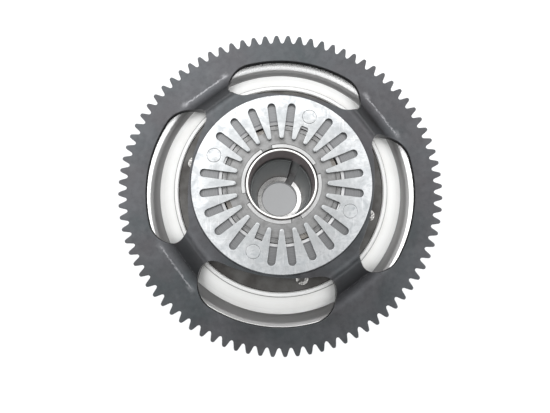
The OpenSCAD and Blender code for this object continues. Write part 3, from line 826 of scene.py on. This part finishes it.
def star_outline():
    half_slot = SLOT_W / 2
    tip = (FINGER_TIP_R + 0.8) * math.sin(math.pi / FINGERS) - half_slot
    root = FINGER_TIP_R + tip
    long_slot = arc((SLOT_END_R - half_slot, 0), half_slot, -QUARTER, QUARTER, 14)
    corner = 0.8
    short_slot = arc((SHORT_SLOT_R - corner, corner - half_slot), corner, -QUARTER, 0, 5)
    short_slot += arc((SHORT_SLOT_R - corner, half_slot - corner), corner, 0, QUARTER, 5)
    loop = []
    for i in range(FINGERS):
        a = FULL * i / FINGERS
        loop += turned(arc((root, 0), tip, 3 * QUARTER, QUARTER, 10), a)
        loop += turned(short_slot if i % 6 == 4 else long_slot, a + math.pi / FINGERS)
    return loop


def star_spring(material):
    low, high = bottom("star_spring"), top("star_spring")
    rivet_hole = circle(RIVET_R + 0.06, 40, (RIVET_CIRCLE_R, 0))
    holes = [star_outline()] + [turned(rivet_hole, RIVET_TURN + QUARTER * i) for i in range(4)]
    data = relief(circle(reach("star_spring"), 240), holes, level(high), level(low), 0.16)
    piece("star_spring", *data, "gear", material, "zinc_plate")


def spring_rivets(material):
    """Riveted studs: a flat head under the web, a thin shank and a head let into the spring."""
    low, high = bottom("spring_rivets"), top("spring_rivets")
    shank_r, web_low = 2.0, FLANGE_TOP - WEB_T
    outline = rounded([
        (0.001, low, 0), (RIVET_R, low, 0.35), (RIVET_R, web_low, 0.1), (shank_r, web_low, 0),
        (shank_r, SEAT_TOP, 0), (RIVET_R, SEAT_TOP, 0), (RIVET_R, high, 0.22), (0.001, high - 0.03, 0),
    ])
    data = around(lathe_data(outline, 40), 4, RIVET_TURN, RIVET_CIRCLE_R)
    piece("spring_rivets", *data, "gear", material, "zinc_rivet")


# ---- Limiter hub, bush and plates ----

COLLAR_GAP = math.radians(16)
SKIRT_BORE_R = 18.5
DISC_TOP = 61.2
DISC_BOTTOM = bottom("hub_bush")
GAP_FLOOR = 63.6
GAP_SIDE = 0.006
HUB_TOP_STEPS = [
    (15.32, COLLAR_TOP - 3.0), (COLLAR_BORE_R, COLLAR_TOP - 0.12), (15.5, COLLAR_TOP),
    (16.83, COLLAR_TOP), (COLLAR_R, COLLAR_TOP - 0.12), (17.0, DISC_TOP), (25.6, DISC_TOP),
    (26.0, DISC_TOP - 0.4),
]
HUB_LOW_STEPS = [(18.44, DISC_BOTTOM), (SKIRT_BORE_R, HUB_BOTTOM + 0.4), (18.9, HUB_BOTTOM)]


def hub_top(x, y):
    """Height of the disc and of the collar, whose four gaps go down to GAP_FLOOR."""
    z = steps_of(HUB_TOP_STEPS)(x, y)
    a = abs((math.atan2(y, x) - TAB_TURN + QUARTER / 2) % QUARTER - QUARTER / 2)
    solid = min(1.0, max(0.0, (a - COLLAR_GAP / 2) / GAP_SIDE))
    return GAP_FLOOR + (z - GAP_FLOOR) * solid if z > GAP_FLOOR else z


def hub_guides():
    lines = ring_guides(HUB_TOP_STEPS[:-1])
    across_collar = [(JOURNAL_R, 0.0), (17.2, 0.0)]
    for i in range(4):
        for side in (-1, 1):
            for extra in (0.0, GAP_SIDE):
                a = side * (COLLAR_GAP / 2 + extra)
                lines.append(turned(across_collar, TAB_TURN + i * QUARTER + a))
    return lines


def limiter_hub(material):
    guides = hub_guides() + ring_guides(HUB_LOW_STEPS)
    data = relief(circle(RACE_R), [circle(BUSH_R + 0.02)], hub_top, steps_of(HUB_LOW_STEPS), 0.1, guides)
    piece("limiter_hub", *data, "hub", material, "hub_steel")


def hub_bush():
    low, high = bottom("hub_bush"), top("hub_bush")
    outline = rounded([
        (JOURNAL_R, low, 0.2), (BUSH_R, low, 0.2), (BUSH_R, high, 0.15), (JOURNAL_R, high, 0.22),
    ])
    data = lathe_data(outline)
    piece("hub_bush", *data, "hub", stained_bore("bush_steel", low, high), "bush")


def tabbed_ring(r_out, notch):
    """Outline loops of a ring with four inner tabs and, if asked, four outer notches."""
    half_tab = COLLAR_GAP / 2 - math.radians(0.4)
    notch_floor_r, notch_half = 22.6, 1.7
    inner, outer = [], []
    for i in range(4):
        a = TAB_TURN + i * QUARTER
        inner += turned(arc((0, 0), COLLAR_BORE_R + 0.1, -half_tab, half_tab, 8), a)
        inner += turned(arc((0, 0), COLLAR_R + 0.03, half_tab, QUARTER - half_tab, 40), a)
        if notch:
            half = math.asin(notch_half / r_out)
            outer += turned([(notch_floor_r, -notch_half), (notch_floor_r, notch_half)], a)
            outer += turned(arc((0, 0), r_out, half, QUARTER - half, 60), a)
    return (outer or circle(r_out)), inner


def limiter_plates(material):
    """The plain drive plate, and the pressure plate with a groove and a step near its edge."""
    face_r, groove_r = 23.6, 22.9
    drops = [
        (groove_r - 0.25, 0.0), (groove_r - 0.1, 0.3), (groove_r + 0.1, 0.3), (groove_r + 0.25, 0.04),
        (face_r - 0.1, 0.04), (face_r, 0.45),
    ]
    for node, notch in (("drive_plate", False), ("pressure_plate", True)):
        outer, inner = tabbed_ring(reach(node) + (0.12 if notch else 0.0), notch)
        rows = [(r, top(node) - drop) for r, drop in drops] if notch else [(face_r, top(node))]
        data = relief(outer, [inner], steps_of(rows), level(bottom(node)), 0.12, ring_guides(rows))
        piece(node, *data, "hub", material, "plate_steel")


def friction_rings(material):
    for node in ("lower_friction_ring", "upper_friction_ring"):
        r_in, r_out, low, high = COLLAR_R + 1, reach(node), bottom(node), top(node)
        outline = rounded([(r_in, low, 0.1), (r_out, low, 0.1), (r_out, high, 0.15), (r_in, high, 0.1)])
        piece(node, *lathe_data(outline), "gear", material, "friction")


# ---- Clutch ----

def clutch_housing(material):
    low, high = FLOOR_Z, top("clutch_housing")
    race_r, bore_r, seat = 34.3, 36.0, 50.8
    outline = rounded([
        (race_r, low, 0.3), (RECESS_R, low, 0.3), (RECESS_R, high, 0.5), (bore_r, high, 0.3),
        (bore_r, seat + 2, 0), (bore_r + 0.8, seat + 2, 0), (bore_r + 0.8, seat + 1, 0),
        (bore_r, seat + 1, 0), (bore_r, seat, 0), (race_r, seat, 0.2),
    ])
    piece("clutch_housing", *lathe_data(outline), "rotor", material, "housing_steel")


def clutch_end_plate(material):
    low, high = bottom("clutch_end_plate"), top("clutch_end_plate")
    r_in, r_out = RACE_R + 0.6, reach("clutch_end_plate")
    outline = rounded([(r_in, low, 0.15), (r_out, low, 0.15), (r_out, high, 0.15), (r_in, high, 0.2)])
    piece("clutch_end_plate", *lathe_data(outline), "rotor", material, "plate_steel")


def cut_out(data, cutter):
    """The data with the cutter's solid taken away."""
    made = []
    for verts, faces in (data, cutter):
        mesh = bpy.data.meshes.new("scratch")
        mesh.from_pydata(verts, [], faces)
        bm = bmesh.new()
        bm.from_mesh(mesh)
        bmesh.ops.remove_doubles(bm, verts=bm.verts, dist=1e-5)
        bmesh.ops.recalc_face_normals(bm, faces=bm.faces)
        bm.to_mesh(mesh)
        bm.free()
        made.append(bpy.data.objects.new("scratch", mesh))
        bpy.context.scene.collection.objects.link(made[-1])
    modifier = made[0].modifiers.new("cut", "BOOLEAN")
    modifier.object = made[1]
    modifier.operation = "DIFFERENCE"
    modifier.solver = "EXACT"
    result = made[0].evaluated_get(bpy.context.evaluated_depsgraph_get()).to_mesh()
    out = [tuple(v.co) for v in result.vertices], [tuple(p.vertices) for p in result.polygons]
    for obj in made:
        bpy.data.objects.remove(obj)
    return out


def block(x0, x1, y0, y1, z0, z1):
    verts = [(x, y, z) for z in (z0, z1) for x, y in ((x0, y0), (x1, y0), (x1, y1), (x0, y1))]
    return verts, [(3, 2, 1, 0), (4, 5, 6, 7), (0, 1, 5, 4), (1, 2, 6, 5), (2, 3, 7, 6), (3, 0, 4, 7)]


def clutch_bolts(material):
    """Socket screws from the magnet side, their ends dimpled and slotted across."""
    low, high = bottom("clutch_bolts"), top("clutch_bolts")
    shank, head_r, socket_r, socket_depth = 3.0, 5.0, 2.9, 3.2
    outline = rounded([
        (0.001, low, 0), (head_r, low, 0.6), (head_r, WEB_BOTTOM, 0.2), (shank, WEB_BOTTOM, 0),
        (shank, high - 0.5, 0.1), (shank - 0.3, high - 0.1, 0.1), (shank - 0.6, high, 0.1), (1.2, high, 0.2),
        (0.9, high - 0.6, 0.2), (0.001, high - 0.7, 0),
    ])
    hexagon = circle(socket_r, 6)
    prism = [(x, y, z) for z in (low - 1, low + socket_depth) for x, y in hexagon]
    sides = [(i, (i + 1) % 6, 6 + (i + 1) % 6, 6 + i) for i in range(6)]
    ends = [(5, 4, 3, 2, 1, 0), (6, 7, 8, 9, 10, 11)]
    bolt = cut_out(lathe_data(outline, 48), (prism, sides + ends))
    notch = block(-0.5, 0.5, -4, 4, high - 0.35, high + 1)
    bolt = cut_out(bolt, moved(notch, 0.5))
    data = around(bolt, 6, BOLT_TURN, BOLT_CIRCLE_R)
    piece("clutch_bolts", *data, "rotor", material, "bolt_steel")


# ---- Rotor ----

def rotor_cup(material):
    groove_r, lug_low, lug_high = 68.2, 8.0, 26.0
    cove_r, root_r = 6.4, 1.5
    rim_x, rim_z = CONE_TOP
    outline = rounded([
        (WALL_R, 0, 0.5), (ROTOR_R, 0, 0.6), (ROTOR_R, lug_low - 2, 0.5), (groove_r, lug_low, 0.8),
        (groove_r, lug_high, 0.8), (ROTOR_R, lug_high + 2, 0.5), (ROTOR_R, SHOULDER_Z, 0.7),
        (LAND_OUT_R, SHOULDER_Z, 0),
    ])
    outline += [(LAND_OUT_R - 1.6, COVE_FLOOR + 0.9)]
    outline += arc((CONE_FOOT[0] + cove_r, COVE_FLOOR + cove_r), cove_r, -QUARTER, -2 * QUARTER, 14)
    outline += [CONE_FOOT, CONE_TOP, (rim_x - 0.15, rim_z + 0.1)]
    outline += [(rim_x - 0.3, CUP_TOP - 0.25), (rim_x - 0.55, CUP_TOP), (RECESS_R + 0.4, CUP_TOP)]
    outline += [(RECESS_R, CUP_TOP - 0.4), (RECESS_R, FLOOR_Z), (PILOT_R, FLOOR_Z), (PILOT_R, WEB_BOTTOM)]
    outline += arc((WALL_R - root_r, WEB_BOTTOM - root_r), root_r, QUARTER, 0, 5)
    parts = [lathe_data(without_repeats(outline), 320)]
    lug = rounded([
        (groove_r - 1, lug_low + 1, 0), (ROTOR_R - 0.1, lug_low + 1, 0.3),
        (ROTOR_R - 0.1, lug_high - 1, 0.3), (groove_r - 1, lug_high - 1, 0),
    ])
    lug_places, width = 24, math.radians(8)
    for i in range(1, lug_places - 1):
        parts.append(lathe_data(lug, 8, FULL * i / lug_places - width / 2, width))
    piece("rotor_cup", *joined(parts), "rotor", material, "machined_steel")


def rotor_boss(material):
    low, high = bottom("rotor_boss"), BOSS_TOP
    thread_r, low_r, flange_r, boss_r, hole_r = 13.2, 19.5, reach("rotor_boss"), 17.8, 9.5
    key_depth, key_half = 1.9, 2
    outline = rounded([
        (thread_r, low, 0.8), (low_r, low, 0.8), (low_r, FLANGE_LOW, 0.8), (flange_r, FLANGE_LOW, 0.6),
        (flange_r, WEB_BOTTOM, 0.1), (PILOT_R, WEB_BOTTOM, 0), (PILOT_R, FLOOR_Z, 0.1), (boss_r, FLOOR_Z, 0),
        (boss_r, high, 0.6), (TAPER_BIG_R, high, 0.35), (TAPER_SMALL_R, LEDGE_Z, 0.1),
        (hole_r, LEDGE_Z - 0.25, 0.3), (hole_r, BOLT_SEAT_Z, 0.4), (thread_r, BOLT_SEAT_Z, 0.3),
    ])
    keyway = block(0, TAPER_BIG_R + key_depth, -key_half, key_half, LEDGE_Z - 3, high + 1)
    data = cut_out(lathe_data(outline, 192), moved(keyway, KEY_TURN))
    piece("rotor_boss", *data, "rotor", material, "boss_steel")


def boss_rivets(material):
    """Rivets with a raised head under the flange and a countersunk upper end."""
    low, high = bottom("boss_rivets"), top("boss_rivets")
    shank_r, head_r, crown_r, sunk_r = 3.0, 4.7, 2.8, 4.5
    outline = rounded([
        (0.001, low, 0), (crown_r, low, 0.8), (head_r, FLANGE_LOW - 0.5, 0.5), (head_r, FLANGE_LOW, 0),
        (shank_r, FLANGE_LOW, 0), (shank_r, high - 1.5, 0), (sunk_r, high, 0.05), (0.001, high, 0),
    ])
    data = around(lathe_data(outline, 40), 6, BOLT_TURN + math.radians(30), BOSS_RIVET_CIRCLE_R)
    piece("boss_rivets", *data, "rotor", material, "rivet_steel")


def magnets(material):
    low, high = bottom("magnets"), top("magnets")
    r_in, half, count = 53.6, math.radians(13), 12
    parts = []
    for i in range(count):
        loop = arc((0, 0), WALL_R, -half, half, 16) + arc((0, 0), r_in, half, -half, 16)
        loop = turned(loop, FULL * (i + 0.5) / count)
        parts.append(relief(loop, [], level(high), level(low), 0.35))
    piece("magnets", *joined(parts), "rotor", material, "magnet")


def magnet_sleeve(material):
    low, high = bottom("magnet_sleeve"), top("magnet_sleeve")
    r_in = 53.2
    outline = rounded([
        (r_in, low, 0.6), (WALL_R, low, 0), (WALL_R, low + 0.6, 0), (r_in + 0.4, low + 0.6, 0.3),
        (r_in + 0.4, high, 0), (r_in, high, 0),
    ])
    piece("magnet_sleeve", *lathe_data(outline), "rotor", material, "sleeve_steel")


# ---- Stage, lights, camera ----

CAMERA_SHADE = (0.10, -0.03, 0.994)
BODY_SHADE = (0.12, -0.80, 0.59)
SOFTBOX_Z = 0.76
CAMERA_PLACE = (-3.868, -26.105, 183.941 + RING_TOP)
CAMERA_RIGHT = (0.99998, -0.00033, 0.00663)
CAMERA_UP = (-0.00033, 0.99505, 0.09941)


def floor():
    half = 3.0
    mesh = bpy.data.meshes.new("floor")
    corners = [(-half, -half, 0), (half, -half, 0), (half, half, 0), (-half, half, 0)]
    mesh.from_pydata(corners, [], [(0, 1, 2, 3)])
    n = surface("floor_white")
    n.finish((0.5, 0.5, 0.5, 1), 0.9, metallic=0.0)
    n.shader.inputs["Emission Color"].default_value = (0.97, 0.985, 1.0, 1)
    n.shader.inputs["Emission Strength"].default_value = 0.4
    mesh.materials.append(n.owner)
    obj = bpy.data.objects.new("floor", mesh)
    bpy.context.scene.collection.objects.link(obj)


def area_light(name, place, target, size, power):
    light = bpy.data.lights.new(name, "AREA")
    light.shape = "SQUARE"
    light.size = size
    light.energy = power
    obj = bpy.data.objects.new(name, light)
    obj.location = place
    obj.rotation_mode = "QUATERNION"
    obj.rotation_quaternion = (Vector(target) - Vector(place)).to_track_quat("-Z", "Y")
    bpy.context.scene.collection.objects.link(obj)


def sky():
    """White studio light, dimmer near the horizon and where the camera and its user shade it."""
    n = Nodes(bpy.data.worlds.new("studio"), "Background", "Generated")
    n.shader.inputs["Color"].default_value = (0.985, 0.99, 1.0, 1)

    def shade(towards, edge_deg, core_deg, depth):
        lean = n.add("ShaderNodeVectorMath", operation="DOT_PRODUCT")
        n.link(n.place, lean.inputs[0])
        lean.inputs[1].default_value = towards
        edge, core = math.cos(math.radians(edge_deg)), math.cos(math.radians(core_deg))
        return n.span(lean.outputs["Value"], edge, core, 0.0, depth, True)

    parts = n.add("ShaderNodeSeparateXYZ")
    n.link(n.place, parts.inputs["Vector"])
    height = n.span(parts.outputs["Z"], 0.0, 0.6, 0.95, 1.7)
    off_softbox = n.math("ABSOLUTE", n.math("SUBTRACT", parts.outputs["Z"], SOFTBOX_Z))
    softbox = n.span(off_softbox, 0.04, 0.20, 0.8, 0.0, True)
    light = n.math("SUBTRACT", n.math("ADD", height, softbox), shade(CAMERA_SHADE, 17, 1, 1.28))
    light = n.math("SUBTRACT", light, shade(BODY_SHADE, 60, 25, 0.82))
    backdrop = n.add("ShaderNodeLightPath").outputs["Is Camera Ray"]
    n.link(n.math("MAXIMUM", n.math("MAXIMUM", light, 0.1), backdrop), n.shader.inputs["Strength"])
    bpy.context.scene.world = n.owner


def camera():
    data = bpy.data.cameras.new("camera")
    data.sensor_width = 36.0
    data.lens = 26.18
    obj = bpy.data.objects.new("camera", data)
    right, up = Vector(CAMERA_RIGHT), Vector(CAMERA_UP)
    turn = Matrix((right, up, right.cross(up))).transposed().to_4x4()
    obj.matrix_world = Matrix.Translation(Vector(CAMERA_PLACE) * MM) @ turn
    bpy.context.scene.collection.objects.link(obj)
    bpy.context.scene.camera = obj


def repaint(node, material):
    """Gives a CAD node that has no piece of its own a material."""
    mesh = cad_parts[node].data
    mesh.materials.clear()
    mesh.materials.append(material)


camera()
floor()
sky()
area_light("key_light", (-0.35, 0.45, 0.75), (0, 0, 0.05), 0.8, 1.5)
area_light("fill_light", (0.6, -0.05, 0.45), (0, 0, 0.05), 0.5, 0.8)
bpy.context.scene.view_settings.view_transform = "Standard"

bright_zinc = zinc()
rivet_zinc = zinc("zinc_rivet", 2.0)
plate_steel = turned_steel("plate_steel", (0.27, 0.27, 0.268, 1), (0.165, 0.163, 0.16, 1), 0.38, 0.4, 4.0)
hub_steel = turned_steel("hub_steel", (0.52, 0.52, 0.515, 1), (0.40, 0.40, 0.395, 1), 0.32)
crank_steel = boss_steel()
housing_steel = dull_metal("housing_steel", (0.100, 0.098, 0.094, 1), (0.060, 0.057, 0.054, 1), 0.45)
bolt_steel = dull_metal(
    "bolt_steel", (0.20, 0.195, 0.185, 1), (0.12, 0.115, 0.11, 1), 0.38, peened_z=top("clutch_bolts") - 0.25)
rivet_steel = dull_metal("rivet_steel", (0.46, 0.46, 0.45, 1), (0.34, 0.34, 0.33, 1), 0.36)
friction = dull_metal("friction_lining", (0.38, 0.36, 0.33, 1), (0.28, 0.26, 0.24, 1), 0.5, 2.0, 0.8, 0.02)
magnet = dull_metal("magnet", (0.12, 0.12, 0.13, 1), (0.08, 0.08, 0.085, 1), 0.55, 3.0, 0.6, 0.02)
resin = dull_metal("resin", (0.04, 0.04, 0.045, 1), (0.025, 0.025, 0.03, 1), 0.5, 5.0, 0.0, 0.02)
sleeve_steel = turned_steel("sleeve_steel", (0.68, 0.68, 0.69, 1), (0.56, 0.56, 0.57, 1), 0.30, 0.8)
hardened = turned_steel("hardened_steel", (0.66, 0.66, 0.67, 1), (0.54, 0.54, 0.55, 1), 0.2, 0.3)
cage_steel = dull_metal("cage_steel", (0.50, 0.42, 0.28, 1), (0.38, 0.31, 0.20, 1), 0.4)
spring_steel = dull_metal("spring_steel", (0.10, 0.10, 0.11, 1), (0.06, 0.06, 0.07, 1), 0.4)

starter_gear()
star_spring(bright_zinc)
spring_rivets(rivet_zinc)
limiter_hub(hub_steel)
hub_bush()
limiter_plates(plate_steel)
friction_rings(friction)
clutch_housing(housing_steel)
clutch_end_plate(plate_steel)
clutch_bolts(bolt_steel)
rotor_cup(rotor_steel())
rotor_boss(crank_steel)
boss_rivets(rivet_steel)
magnets(magnet)
magnet_sleeve(sleeve_steel)
repaint("magnet_spacer", resin)
repaint("sprags", hardened)
repaint("sprag_cage", cage_steel)
repaint("garter_spring", hardened)
repaint("clutch_snap_ring", spring_steel)
